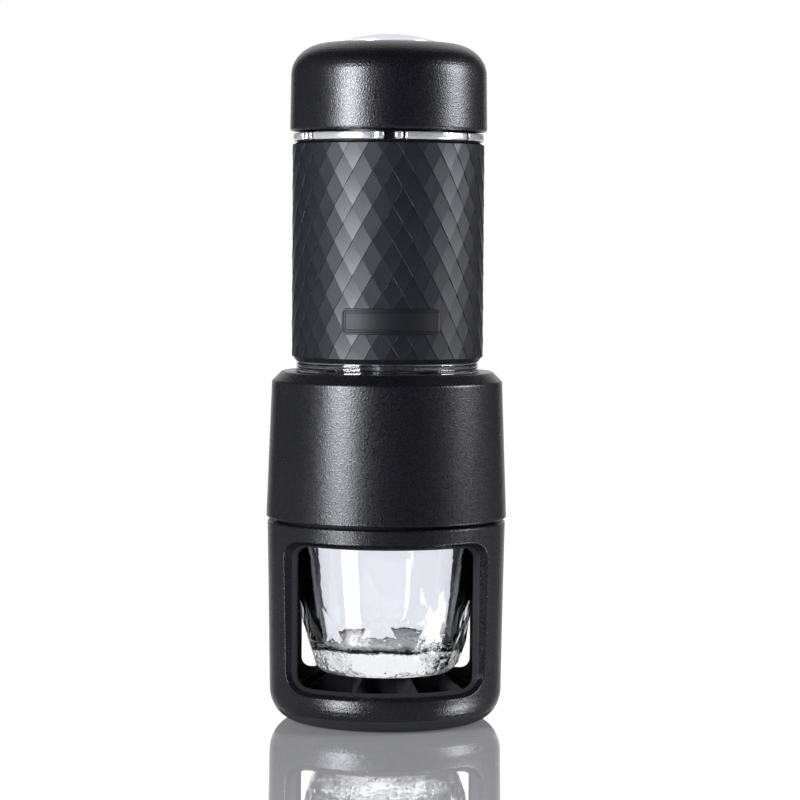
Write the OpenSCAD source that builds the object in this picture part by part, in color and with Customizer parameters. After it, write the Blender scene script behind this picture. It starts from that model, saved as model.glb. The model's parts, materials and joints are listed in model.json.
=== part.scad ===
// Handheld manual espresso maker: a glass stands in a windowed cup holder, a housing with
// the coffee basket sits on it, and a water tank with a hand pump closes the top.
// Millimetres, +Z up, origin at the centre of the foot, front of the maker towards -Y.

/* [Glass] */
// Diameter of the glass at its rim
glass_d = 58.6; // [54:0.1:64]
// Height of the glass
glass_h = 44.6; // [40:0.1:52]
// Thickness of the glass wall at the rim
glass_wall = 2; // [1.6:0.1:3.5]
// Thickness of the heavy glass bottom
glass_bottom = 7.6; // [5:0.1:10]
// Diameter of the flat bottom the glass stands on
glass_foot_d = 41; // [34:0.5:44]
// Number of flat cuts round the glass
glass_facets = 9; // [6:1:14]

/* [Cup holder] */
// Wall thickness of the cup holder
holder_wall = 3.2; // [2.6:0.1:4]
// How much wider the cup holder is at its top edge than at its foot, on each side
holder_flare = 0.85; // [0:0.05:2]
// Free space between the glass and the cup holder's wall
glass_room = 2.3; // [1.5:0.1:4]
// Thickness of the cup holder's floor
floor_t = 7; // [6:0.1:10]
// Height of the hub the glass stands on, above the floor
hub_h = 7.8; // [5:0.1:10]
// Diameter of the hub in the middle of the ribs
hub_d = 20; // [14:0.5:28]
// Free height above the rim of the glass, under the cup holder's top edge
rim_room = 0.75; // [0.5:0.05:4]
// Height of the rounded foot corner
foot_round_h = 9.5; // [5:0.1:11]
// Width of the rounded foot corner
foot_round_w = 8; // [4:0.1:9]
// Number of ribs on the floor
floor_ribs = 8; // [4:1:16]
// Thickness of the floor ribs
rib_t = 1.2; // [0.8:0.1:2]
// Diameter over the level tops of the ribs, where the glass stands
rib_level_d = 36; // [30:0.5:40]
// Height of the floor ribs at the wall
rib_h = 1.7; // [1:0.1:3]
// Height of the ring that enters the housing
spigot_h = 6; // [5:0.1:9]
// Wall thickness of the ring that enters the housing
spigot_wall = 2.2; // [1.6:0.1:2.6]

/* [Windows] */
// Width of each window at the inner face of the wall
window_w = 51.6; // [30:0.1:54]
// Height of the window sill above the floor of the cup holder
window_sill = 5.2; // [2:0.1:8]
// Height of the wall left above each window
window_lintel = 6.3; // [4:0.1:12]
// Corner radius of each window at the inner face of the wall
window_r = 3.5; // [2:0.1:6]
// Upper corner radius of each window at the outer face
window_top_r = 5; // [3:0.1:9]
// Lower corner radius of each window at the outer face
window_foot_r = 7; // [3:0.1:9]
// Width of the slanted reveal at the window's sides
reveal_side = 4.5; // [1:0.1:5]
// Height of the slanted reveal at the window's sill
reveal_sill = 2.6; // [0.5:0.1:3.5]
// Height of the slanted reveal at the window's lintel
reveal_lintel = 1.8; // [0.5:0.1:2.5]

/* [Foot pad] */
// Diameter of the rubber pad under the foot
pad_d = 50; // [40:0.5:53]
// Thickness of the rubber pad
pad_t = 2.2; // [1.5:0.1:3]
// How far the pad stands out below the cup holder
pad_proud = 0.2; // [0.1:0.05:0.6]

/* [Housing] */
// Height of the housing
housing_h = 43.75; // [38:0.05:52]
// How far the housing stands out past the cup holder's top edge
housing_step = 0.35; // [0:0.05:1]
// Width of the shoulder between the tank and the housing's top corner
shoulder_w = 7.5; // [5.5:0.1:9]
// Size of the chamfer round the shoulder
shoulder_chamfer = 3; // [1:0.1:4]
// Radius of the rounded corners of that chamfer
shoulder_round = 1.2; // [0.4:0.1:2]
// Wall thickness of the housing
housing_wall = 2.4; // [1.8:0.1:2.6]
// Thickness of the housing's top deck
deck_t = 3.2; // [2:0.1:5]
// Wall thickness of the socket that takes the tank
socket_wall = 2.3; // [1.6:0.1:3]

/* [Brewing chamber] */
// Depth of the coffee basket
basket_depth = 16.7; // [12:0.1:20]
// Sheet thickness of the coffee basket
basket_t = 0.6; // [0.4:0.05:1]
// Width of the basket's turned-out rim
basket_rim_w = 2.1; // [1.5:0.1:3]
// Number of rings of holes in the basket
basket_hole_rings = 4; // [2:1:5]
// Diameter of each basket hole
basket_hole_d = 1.1; // [0.6:0.1:1.6]
// Wall thickness of the brewing cup
brew_wall = 1.6; // [1.2:0.1:2.4]
// Length of the spout under the brewing cup
spout_l = 8; // [5:0.1:9]
// Outer diameter of the spout tip
spout_d = 7; // [6:0.1:12]
// Bore of the spout
spout_bore_d = 3; // [2:0.1:4]

/* [Water tank] */
// Outer diameter of the water tank
tank_d = 54; // [50:0.1:58]
// Wall thickness of the water tank
tank_wall = 1.8; // [1.4:0.1:2.4]
// Depth of the tank's neck in the housing
neck_depth = 11.8; // [10.5:0.1:14]
// Clear neck left in sight above the housing
neck_gap = 3; // [2:0.1:6]
// Number of ridges on the clear neck
neck_ridges = 3; // [2:1:4]
// How far each ridge stands out
ridge_out = 0.35; // [0.2:0.05:0.5]
// Thickness of the tank's floor
tank_floor_t = 2; // [1.8:0.1:3]
// Depth of the skirt under the tank's floor
skirt_depth = 3.5; // [3.2:0.1:5]
// Thickness of the rim round the tank's mouth
tank_rim_t = 0.9; // [0.6:0.1:2]

/* [Grip sleeve] */
// Height of the grip sleeve
sleeve_h = 64.4; // [56:0.1:80]
// Thickness of the grip sleeve
sleeve_t = 1.65; // [1.2:0.05:3]
// Number of diamonds round the sleeve
diamonds = 30; // [16:1:36]
// Height of one diamond
diamond_h = 10.2; // [8:0.1:14]
// Height of the lowest whole row of diamond corners above the sleeve's lower edge
diamond_rise = 5.25; // [3:0.05:8]
// Depth of the hollow in the middle of each diamond
diamond_sink = 0.12; // [0.05:0.01:0.5]
// Height of the chamfer at the sleeve's two ends
sleeve_chamfer = 1.4; // [0.5:0.1:2]
// Thickness of the sleeve's two edges
sleeve_edge_t = 0.4; // [0.3:0.05:1]

/* [Pump] */
// Bore of the pump barrel
bore_d = 13; // [10:0.1:15]
// Wall thickness of the pump barrel
barrel_wall = 1.7; // [1.2:0.1:2.5]
// Height of the piston
piston_h = 8; // [6:0.1:10]
// Diameter of the piston rod
rod_d = 6; // [4:0.1:7]
// Diameter of the valve block where it passes the tank's floor
block_d = 21; // [20:0.1:24]
// Diameter of the valve ball
ball_d = 4.4; // [4:0.1:5]
// Lift of the valve ball
ball_lift = 1.2; // [0.8:0.1:1.6]
// Diameter of the outlet holes in the valve block
outlet_hole_d = 1.8; // [1.2:0.1:2]

/* [Lid] */
// Depth of the well in the lid
well_depth = 25.6; // [22:0.1:28]
// Wall thickness of the lid's well
lid_wall = 2; // [1.8:0.1:2.6]
// Height of the lid ring's outer band
ring_band_h = 2.35; // [1.6:0.05:3]
// How far the lid ring stands out past the grip sleeve
ring_over = 0.15; // [0:0.05:0.5]
// Thickness of the lid ring's plate
ring_plate_t = 1; // [0.8:0.1:1.2]
// Number of locking lugs on the plunger sleeve
lugs = 3; // [2:1:4]
// Angle covered by each locking lug
lug_angle = 30; // [15:1:36]
// Turn of the cap from the lifting position to the locked one
lock_angle = 35; // [32:1:44]
// Height of each lug and of each catch
lug_h = 2; // [1.5:0.1:3]
// How far each lug stands out
lug_depth = 0.8; // [0.6:0.1:1.2]

/* [Cap] */
// Height of the cap
cap_h = 26.15; // [22:0.05:34]
// How far the cap stands out past the tank, on each side
cap_over = 2.4; // [2:0.1:4]
// Wall thickness of the cap
cap_wall = 2.2; // [1.6:0.1:3]
// Thickness of the cap's top
cap_top_t = 2.8; // [2.4:0.1:4]
// Width of the cap's rounded top edge
cap_round_w = 11; // [6:0.1:13]
// Height of the cap's rounded top edge
cap_round_h = 9.4; // [5:0.1:11]
// How much wider the cap is at its bottom edge than under its round, on each side
cap_flare = 0.25; // [0:0.05:1]
// Radius of the cap's bottom edge
cap_edge_r = 0.9; // [0.3:0.1:1.2]
// Diameter of the bright medallion
medallion_d = 27; // [18:0.5:34]
// Rise of the medallion above the cap
medallion_rise = 2.9; // [1:0.1:4]
// Wall thickness of the plunger sleeve
plunger_wall = 1.4; // [1:0.1:2]
// Height of the web inside the cap, above the cap's bottom edge
web_rise = 13.9; // [11:0.1:16]
// Thickness of the web
web_t = 2.4; // [1.8:0.1:3]

/* [Return spring] */
// Mean diameter of the return spring
spring_d = 28; // [24:0.5:32]
// Wire diameter of the return spring
spring_wire = 1.6; // [1.2:0.1:2]
// Number of turns of the return spring
spring_turns = 8; // [5:1:10]

/* [Seals] */
// Cross-section of the large sealing rings
seal_w = 1.5; // [1.2:0.1:1.6]
// Cross-section of the small sealing rings
small_seal_w = 1.1; // [0.9:0.1:1.2]
// Height of the basket gasket
gasket_h = 4.5; // [4:0.1:6]

/* [Clearances] */
// Radial clearance between pieces that unscrew
screw_gap = 0.3; // [0.2:0.05:0.5]
// Radial clearance of a sealing ring or of a running fit
running_gap = 0.05; // [0.03:0.01:0.09]
// Gap between pieces fitted to each other for good
fit_gap = 0.05; // [0.02:0.01:0.1]
// Height of the seam between two faces that meet
face_gap = 0.1; // [0.05:0.01:0.2]
// Height of the seam between the cup holder and the housing
holder_seam = 0.8; // [0.3:0.1:1.5]
// Height of the seam under the cap
cap_seam = 0.7; // [0.4:0.1:1.5]

/* [Hidden] */

$fn = 96;
eps = 0.01;
past = 1;
edge_cut = 0.4;

// Radii of the glass and the cup holder
glass_r = glass_d / 2;
cavity_r = glass_r + glass_room;
foot_r = cavity_r + holder_wall;
holder_top_r = foot_r + holder_flare;
housing_foot_r = holder_top_r + housing_step;
shell_bore_r = housing_foot_r - housing_wall - edge_cut;
spigot_r = shell_bore_r - screw_gap;
glass_pass = 0.5;
spigot_bore_r = max(glass_r + glass_pass, spigot_r - spigot_wall);

// Heights of the cup holder and the glass
hub_top = floor_t + hub_h;
glass_z = hub_top + face_gap / 2;
glass_top = glass_z + glass_h;
holder_top = glass_top + rim_room;
sill_z = floor_t + window_sill;
lintel_z = holder_top - window_lintel;
floor_cove = 2;
rim_shelf_z = holder_top - 2;
rim_cone_h = 2;

// Radii of the tank, its socket and what sits in them
tank_r = tank_d / 2;
tank_bore_r = tank_r - tank_wall;
socket_r = tank_r + screw_gap;
housing_top_r = tank_r + shoulder_w;
ledge_w = 1.7;
ledge_r = tank_r - ledge_w;
brew_r = ledge_r - fit_gap;
brew_bore_r = brew_r - brew_wall;
basket_r = brew_bore_r - screw_gap;
basket_rim_r = basket_r + basket_rim_w;
skirt_wall = 1.2;
gasket_r = tank_r - skirt_wall - fit_gap;
gasket_over = 0.2;
gasket_bore_r = basket_r - basket_t + gasket_over;
screen_gap = 0.4;
screen_r = gasket_bore_r - screen_gap;

// Heights of the housing and the tank
housing_z = holder_top + holder_seam;
housing_top = housing_z + housing_h;
tank_z = housing_top - neck_depth;
tank_floor_z = tank_z + skirt_depth;
tank_floor_top = tank_floor_z + tank_floor_t;
sleeve_z = housing_top + neck_gap;
sleeve_top = sleeve_z + sleeve_h;
tank_top = sleeve_top + face_gap + tank_rim_t;
housing_seal_rise = 3;
housing_seal_z = housing_z + housing_seal_rise;

// Heights of the brewing chamber
gasket_z = tank_floor_z - gasket_h;
basket_top = gasket_z - 2 * face_gap;
basket_rim_t = 0.8;
brew_top = basket_top - basket_rim_t - face_gap / 2;
brew_flange_t = 2;
ledge_z = brew_top - brew_flange_t;
ledge_t = 2;
basket_foot = basket_top - basket_depth;
basket_room = 1.3;
brew_floor_z = basket_foot - basket_room;
brew_floor_t = 2.2;
brew_foot = brew_floor_z - brew_floor_t;
spout_z = brew_foot - spout_l;
screen_foot = gasket_z + 0.3;
screw_r = 1.2;

// Pump: the valve block hangs in the tank's floor and the barrel stands on it
bore_r = bore_d / 2;
barrel_r = bore_r + barrel_wall;
block_r = block_d / 2;
block_flange_t = 2;
block_flange_w = 2.5;
block_flange_r = block_r + block_flange_w;
block_foot = tank_floor_z - face_gap / 2 - block_flange_t;
port_r = 1.1;
port_rise = 0.3;
port_z = tank_floor_top + port_r + port_rise;
block_neck_over = 1.5;
block_neck_r = bore_r + block_neck_over;
block_neck_z = port_z + port_r + face_gap;
seat_rise = 0.2;
seat_w = 0.6;
seat_r = ball_d / 2 - seat_w;
ball_rise = sqrt(pow(ball_d / 2, 2) - seat_r * seat_r) + face_gap;
ball_room = 0.5;
ball_clear = 0.79;
chamber_r = ball_d / 2 + ball_room;
block_neck_h = seat_rise + ball_rise + ball_d / 2 + ball_lift + ball_clear;
block_top = block_neck_z + block_neck_h;
barrel_seal_z = block_top - block_neck_h / 2;
collar_w = 1.6;
barrel_collar_r = block_r + collar_w;
seat_z = block_neck_z + seat_rise;
ball_z = seat_z + ball_rise;
retainer_z = block_top + face_gap / 2;
retainer_t = 0.8;
piston_room = 1.2;
piston_z = retainer_z + retainer_t + piston_room;
piston_gap = 0.2;
piston_r = bore_r - piston_gap;
piston_foot_t = 2;
piston_top = piston_z + piston_h;
outlet_circle_r = (chamber_r + block_neck_r - small_seal_w) / 2 + 0.1;
outlet_r = outlet_hole_d / 2;
outlets = 3;
outlet_angle = 90;

// Lid, cap and the plunger's travel
plug_r = tank_bore_r - screw_gap;
well_r = plug_r - lid_wall;
lid_flange_z = tank_top + face_gap;
lid_flange_t = 1;
lid_flange_w = 0.4;
lid_flange_r = tank_r + lid_flange_w;
ring_r = tank_r + sleeve_t + ring_over;
ring_plate_z = lid_flange_z + lid_flange_t + face_gap;
ring_top = ring_plate_z + ring_plate_t;
ring_z = ring_top - ring_band_h;
well_floor = ring_top - well_depth;
well_floor_t = 2;
plug_z = well_floor - well_floor_t;
lug_r = well_r - screw_gap;
plunger_r = lug_r - lug_depth;
plunger_bore_r = plunger_r - plunger_wall;
ring_bore_r = plunger_r + screw_gap;
plunger_rise = 1;
plunger_z = well_floor + plunger_rise;
lug_top = plunger_z + lug_h;
catch_z = lug_top + screw_gap;
stroke_room = 0.6;
stroke = ring_plate_z - lug_top - stroke_room;
barrel_room = 4;
barrel_top = plug_z - barrel_room;
cap_r = tank_r + cap_over;
cap_z = ring_top + cap_seam;
cap_top = cap_z + cap_h;
cap_under = cap_top - cap_top_t;
cap_neck_r = cap_r - cap_flare;
cap_round_z = cap_top - cap_round_h;
web_z = cap_z + web_rise;
web_top = web_z + web_t;
rod_r = rod_d / 2;
stud_step = 1;
stud_r = rod_r - stud_step;
rod_shoulder_t = 2;
nut_h = 2.4;
nut_w = 1.8;
nut_r = stud_r + nut_w;
bush_wall = 1.6;
bush_r = rod_r + bush_wall;
medallion_r = medallion_d / 2;
medallion_t = 0.9;

echo("plunger stroke", stroke);
echo("piston top at full lift below the barrel's mouth", barrel_top - piston_top - stroke);

// ---- helpers ----

function arc_points(cx, cz, rx, rz, a0, a1, steps) =
    [for (i = [0:steps]) let (a = a0 + (a1 - a0) * i / steps) [cx + rx * cos(a), cz + rz * sin(a)]];

// Points of an arc of radius r that rounds the corner b of the path a, b, c
function rounded_corner(a, b, c, r, steps = 4) =
    let (u = (a - b) / norm(a - b), v = (c - b) / norm(c - b), half = acos(u * v) / 2,
         centre = b + (u + v) / norm(u + v) * r / sin(half),
         p = b + u * r / tan(half) - centre, q = b + v * r / tan(half) - centre,
         a0 = atan2(p[1], p[0]), sweep = (atan2(q[1], q[0]) - a0 + 540) % 360 - 180)
    [for (i = [0:steps]) let (t = a0 + sweep * i / steps) centre + r * [cos(t), sin(t)]];

module revolved(points) {
    rotate_extrude() polygon(points);
}

module ring(r_in, r_out, z0, z1) {
    translate([0, 0, z0]) difference() {
        cylinder(r = r_out, h = z1 - z0);
        translate([0, 0, -past]) cylinder(r = r_in, h = z1 - z0 + 2 * past);
    }
}

// A sealing ring of round section w that lies with its outside at radius r
module o_ring(r, w, z) {
    translate([0, 0, z]) rotate_extrude() translate([r - w / 2, 0]) circle(d = w, $fn = 24);
}

// A groove of square section, open outwards, round a piece of radius r
module outer_groove(r, depth, w, z) {
    ring(r - depth, r + past, z - w / 2, z + w / 2);
}

// Copies of a piece round the axis
module around(count, start = 0) {
    for (i = [0:count - 1]) rotate(start + i * 360 / count) children();
}

// A slice of a ring that covers the angle `angle`, centred on +X
module ring_slice(r_in, r_out, z0, z1, angle) {
    translate([0, 0, z0]) rotate(-angle / 2)
        rotate_extrude(angle = angle) translate([r_in, 0]) square([r_out - r_in, z1 - z0]);
}

// Points of a rectangle w wide with rounded corners, of radius r0 below and r1 above,
// anticlockwise, as [across, up]. Its level edges carry points of their own, so that they
// can lie on a curved wall.
function rounded_rect(w, z0, z1, r0, r1, steps) =
    let (foot = w / 2 - r0, top = w / 2 - r1, share = [for (i = [1:2 * steps - 1]) 1 - i / steps])
    concat(
        arc_points(top, z1 - r1, r1, r1, 0, 90, steps), [for (t = share) [top * t, z1]],
        arc_points(-top, z1 - r1, r1, r1, 90, 180, steps),
        arc_points(-foot, z0 + r0, r0, r0, 180, 270, steps), [for (t = share) [-foot * t, z0]],
        arc_points(foot, z0 + r0, r0, r0, 270, 360, steps));

// Tool that cuts one window with slanted reveals: its inner outline lies on the cavity and
// its outer outline on the outer face, and each pair of points is joined by a straight line
module window_tool() {
    steps = 6;
    reach = 0.25;
    inner = rounded_rect(window_w, sill_z, lintel_z, window_r, window_r, steps);
    outer = rounded_rect(window_w + 2 * reveal_side, sill_z - reveal_sill, lintel_z + reveal_lintel,
                         window_foot_r, window_top_r, steps);
    n = len(inner);
    mid_z = (sill_z + lintel_z) / 2;
    on_inner = [for (p = inner) [p[0], -sqrt(pow(cavity_r, 2) - p[0] * p[0]), p[1]]];
    on_outer = [for (p = outer) [p[0], -sqrt(pow(holder_top_r, 2) - p[0] * p[0]), p[1]]];
    back = [for (i = [0:n - 1]) on_inner[i] - reach * (on_outer[i] - on_inner[i])];
    front = [for (i = [0:n - 1]) on_outer[i] + reach * (on_outer[i] - on_inner[i])];
    far_y = -holder_top_r - 3;
    far = [for (p = front) [p[0], far_y, p[2]]];
    points = concat(back, front, far, [[0, -glass_foot_d / 2, mid_z], [0, far_y, mid_z]]);
    bands = [for (k = [0, n]) for (i = [0:n - 1]) let (j = (i + 1) % n)
        each [[k + i, k + n + j, k + j], [k + i, k + n + i, k + n + j]]];
    caps = [for (i = [0:n - 1]) let (j = (i + 1) % n)
        each [[i, j, 3 * n], [2 * n + j, 2 * n + i, 3 * n + 1]]];
    polyhedron(points, concat(bands, caps));
}

// ---- cup holder ----

module cup_holder() {
    ring_mid_r = cavity_r * 0.88;
    rib_r = rib_level_d / 2;
    rib_proud = 0.3;
    into_wall = 0.5;
    hub_flare = 1;
    rim_cut = 0.5;
    color([0.13, 0.12, 0.15]) difference() {
        union() {
            revolved(concat(
                [[0, pad_proud]],
                arc_points(foot_r - foot_round_w, pad_proud + foot_round_h, foot_round_w, foot_round_h,
                           -90, 0, 10),
                [[holder_top_r - holder_flare * 0.55, holder_top * 0.58],
                 [holder_top_r, holder_top - rim_cut], [holder_top_r - rim_cut, holder_top],
                 [spigot_r, holder_top],
                 [spigot_r, holder_top + spigot_h - rim_cut], [spigot_r - rim_cut, holder_top + spigot_h],
                 [spigot_bore_r, holder_top + spigot_h], [spigot_bore_r, rim_shelf_z],
                 [cavity_r, rim_shelf_z - rim_cone_h], [cavity_r, floor_t + floor_cove],
                 [cavity_r - floor_cove, floor_t], [0, floor_t]]));
            translate([0, 0, floor_t - eps])
                cylinder(r1 = hub_d / 2 + hub_flare, r2 = hub_d / 2, h = hub_h - rib_proud);
            ring(ring_mid_r - rib_t / 2, ring_mid_r + rib_t / 2, floor_t - eps, floor_t + rib_h);
            around(floor_ribs, 180 / floor_ribs) rotate([90, 0, 0]) linear_extrude(rib_t, center = true)
                polygon([[0, floor_t - eps], [cavity_r + into_wall, floor_t - eps],
                         [cavity_r + into_wall, floor_t + rib_h], [ring_mid_r, floor_t + rib_h],
                         [rib_r, hub_top], [0, hub_top]]);
        }
        for (side = [0, 180]) rotate(side) window_tool();
        translate([0, 0, -past]) cylinder(d = pad_d + 2 * fit_gap, h = past + pad_t + fit_gap);
    }
}

module foot_pad() {
    color([0.08, 0.08, 0.09]) cylinder(d = pad_d, h = pad_t);
}

// ---- glass ----

// A flat cut ring: a polygon with `glass_facets` sides, turned by a share of one side
module cut_ring(r, z, turn) {
    translate([0, 0, glass_z + z]) rotate(turn * 360 / glass_facets)
        linear_extrude(eps) circle(r = r, $fn = glass_facets);
}

module glass_cup() {
    shoulder_z = glass_h * 0.2;
    crown_z = glass_h * 0.86;
    bowl_round = 3;
    inner_foot_r = glass_foot_d / 2 - 0.5;
    color([0.85, 0.87, 0.92, 0.4]) difference() {
        hull() {
            translate([0, 0, glass_z]) cylinder(d = glass_foot_d, h = eps, $fn = 72);
            cut_ring(glass_r * 0.79, glass_h * 0.045, 0);
            cut_ring(glass_r * 0.915, shoulder_z, 0);
            cut_ring(glass_r, crown_z, 0.5);
            translate([0, 0, glass_top - eps]) cylinder(r = glass_r, h = eps, $fn = 72);
        }
        revolved(concat(
            [[0, glass_z + glass_bottom]],
            arc_points(inner_foot_r - bowl_round, glass_z + glass_bottom + bowl_round, bowl_round, bowl_round,
                       -90, -10, 6),
            [[glass_r - glass_wall, glass_top + eps], [glass_r - glass_wall, glass_top + past],
             [0, glass_top + past]]));
    }
}

// ---- housing ----

module housing_seal() {
    color([0.1, 0.1, 0.1]) o_ring(spigot_r + running_gap + seal_w, seal_w, housing_seal_z);
}

module housing_shell() {
    groove_r = spigot_r + running_gap + seal_w + fit_gap;
    groove_h = seal_w + 2 * face_gap;
    thread_top = housing_z + spigot_h + 0.6;
    seam = [housing_foot_r, housing_z + edge_cut];
    side = [housing_top_r, housing_top - shoulder_chamfer];
    deck = [housing_top_r - shoulder_chamfer, housing_top];
    mouth = [socket_r + edge_cut, housing_top];
    color([0.14, 0.13, 0.16]) difference() {
        revolved(concat(
            [[shell_bore_r, housing_z], [housing_foot_r - edge_cut, housing_z], seam],
            rounded_corner(seam, side, deck, shoulder_round),
            rounded_corner(side, deck, mouth, shoulder_round),
            [mouth, [socket_r, housing_top - edge_cut],
             [socket_r, ledge_z], [ledge_r, ledge_z], [ledge_r, ledge_z - ledge_t],
             [socket_r + socket_wall, ledge_z - ledge_t], [socket_r + socket_wall, housing_top - deck_t],
             [housing_top_r - housing_wall, housing_top - deck_t - 1], [shell_bore_r, thread_top]]));
        ring(spigot_r, groove_r, housing_seal_z - groove_h / 2, housing_seal_z + groove_h / 2);
    }
}

module brew_cup() {
    flange_r = socket_r - fit_gap;
    foot_cut = 3;
    cove = 2;
    drain_depth = 0.8;
    rib_w = 1.4;
    rib_drop = 3;
    spout_flare = 2;
    tip_cut = 0.8;
    color([0.1, 0.1, 0.11]) difference() {
        union() {
            revolved([
                [0, brew_foot], [brew_r - foot_cut, brew_foot], [brew_r, brew_foot + foot_cut],
                [brew_r, ledge_z + face_gap / 2], [flange_r, ledge_z + face_gap / 2], [flange_r, brew_top],
                [brew_bore_r, brew_top], [brew_bore_r, brew_floor_z + cove], [brew_bore_r - cove, brew_floor_z],
                [spout_d / 2, brew_floor_z - drain_depth], [0, brew_floor_z - drain_depth]]);
            translate([0, 0, spout_z]) cylinder(d1 = spout_d, d2 = spout_d + spout_flare, h = spout_l + eps);
            around(4) translate([spout_d / 2 - 1, -rib_w / 2, brew_foot - rib_drop])
                cube([brew_r * 0.6, rib_w, rib_drop + eps]);
        }
        translate([0, 0, spout_z - past]) cylinder(d = spout_bore_d, h = brew_floor_z - spout_z + 2 * past);
        translate([0, 0, spout_z - eps])
            cylinder(d1 = spout_bore_d + 2 * tip_cut, d2 = spout_bore_d, h = tip_cut * 1.5);
        outer_groove(brew_r, small_seal_w, small_seal_w + 2 * face_gap, ledge_z - ledge_t / 2);
    }
}

module brew_cup_seal() {
    color([0.1, 0.1, 0.1]) o_ring(ledge_r - fit_gap / 2, small_seal_w - fit_gap, ledge_z - ledge_t / 2);
}

module filter_basket() {
    foot_cut = 2;
    floor_r = basket_r - foot_cut;
    hole_step = floor_r / (basket_hole_rings + 0.6);
    color([0.78, 0.78, 0.8]) difference() {
        revolved([
            [0, basket_foot], [floor_r, basket_foot], [basket_r, basket_foot + foot_cut],
            [basket_r, basket_top - basket_rim_t], [basket_rim_r, basket_top - basket_rim_t],
            [basket_rim_r, basket_top], [basket_r - basket_t, basket_top],
            [basket_r - basket_t, basket_foot + foot_cut + basket_t / 2],
            [floor_r - basket_t / 2, basket_foot + basket_t],
            [0, basket_foot + basket_t]]);
        for (k = [1:basket_hole_rings]) around(6 * k)
            translate([k * hole_step, 0, basket_foot - past])
                cylinder(d = basket_hole_d, h = 2 * past + basket_t, $fn = 6);
        translate([0, 0, basket_foot - past]) cylinder(d = basket_hole_d, h = 2 * past + basket_t, $fn = 6);
    }
}

// ---- water tank ----

tank_seal_z = tank_floor_z + tank_floor_t / 2;

module tank_seal() {
    color([0.1, 0.1, 0.1]) o_ring(socket_r - running_gap, seal_w, tank_seal_z);
}

module water_tank() {
    ridge_rise = 0.4;
    ridge_root = 0.5;
    ridge_step = (neck_gap - 1.5 * ridge_rise) / neck_ridges;
    ridge_h = ridge_step * 0.7;
    foot_cut = 0.5;
    cove = 1.5;
    rim_r = tank_r + 0.2;
    skirt_r = tank_r - skirt_wall;
    seal_depth = seal_w - screw_gap + running_gap + fit_gap;
    color([0.8, 0.82, 0.85, 0.5]) difference() {
        union() {
            revolved([
                [skirt_r, tank_z], [tank_r - foot_cut, tank_z], [tank_r, tank_z + foot_cut],
                [tank_r, tank_top - tank_rim_t], [rim_r, tank_top - tank_rim_t], [rim_r, tank_top],
                [tank_bore_r, tank_top], [tank_bore_r, tank_floor_top + cove],
                [tank_bore_r - cove, tank_floor_top], [block_r + fit_gap, tank_floor_top],
                [block_r + fit_gap, tank_floor_z], [skirt_r, tank_floor_z]]);
            for (i = [0:neck_ridges - 1]) let (z = housing_top + ridge_rise + i * ridge_step)
                revolved([[tank_r - ridge_root, z], [tank_r + ridge_out / 2, z],
                          [tank_r + ridge_out, z + ridge_h * 0.3],
                          [tank_r + ridge_out, z + ridge_h * 0.7], [tank_r + ridge_out / 2, z + ridge_h],
                          [tank_r - ridge_root, z + ridge_h]]);
        }
        outer_groove(tank_r, seal_depth, seal_w + 2 * face_gap, tank_seal_z);
    }
}

// The sleeve's outside: rows of lattice points, by turns a corner of four diamonds and the
// middle of one, so that every diamond has four flat sides that meet in its sunk middle
module grip_sleeve() {
    n = 2 * diamonds;
    bore = (tank_r + fit_gap) / cos(180 / n);
    outer = tank_r + sleeve_t;
    row_h = diamond_h / 2;
    first = sleeve_z + sleeve_chamfer;
    last = sleeve_top - sleeve_chamfer;
    rows = floor((last - sleeve_z - diamond_rise) / row_h - 0.3);
    row_z = [for (k = [0:rows]) sleeve_z + diamond_rise + k * row_h];
    phase = 90 / diamonds;
    end_r = tank_r + sleeve_edge_t;
    heights = concat([sleeve_z, sleeve_z, first], row_z, [last, sleeve_top, sleeve_top]);
    count = len(heights);
    function sink(ring, j) = (ring < 3 || ring > rows + 3)
        ? diamond_sink * 0.5
        : ((ring + j) % 2 == 0 ? 0 : diamond_sink);
    function ring_radius(ring, j) = (ring == 0 || ring == count - 1) ? bore
        : (ring == 1 || ring == count - 2) ? end_r
        : outer - sink(ring, j);
    points = [for (ring = [0:count - 1]) for (j = [0:n - 1])
        let (a = 360 * j / n - phase, r = ring_radius(ring, j)) [r * sin(a), -r * cos(a), heights[ring]]];
    function at(ring, j) = ring * n + j % n;
    // Each cell is split along the line that joins two diamond corners
    function cell(ring, j) =
        let (a = at(ring, j), b = at(ring, j + 1), c = at(ring + 1, j + 1), d = at(ring + 1, j))
        (ring + j) % 2 == 0 ? [[a, c, b], [a, d, c]] : [[a, d, b], [b, d, c]];
    outside = [for (ring = [0:count - 2]) for (j = [0:n - 1]) each cell(ring, j)];
    inside = [for (j = [0:n - 1]) each [[at(0, j), at(0, j + 1), at(count - 1, j + 1)],
                                        [at(0, j), at(count - 1, j + 1), at(count - 1, j)]]];
    color([0.2, 0.2, 0.25]) polyhedron(points, concat(outside, inside));
}

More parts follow.
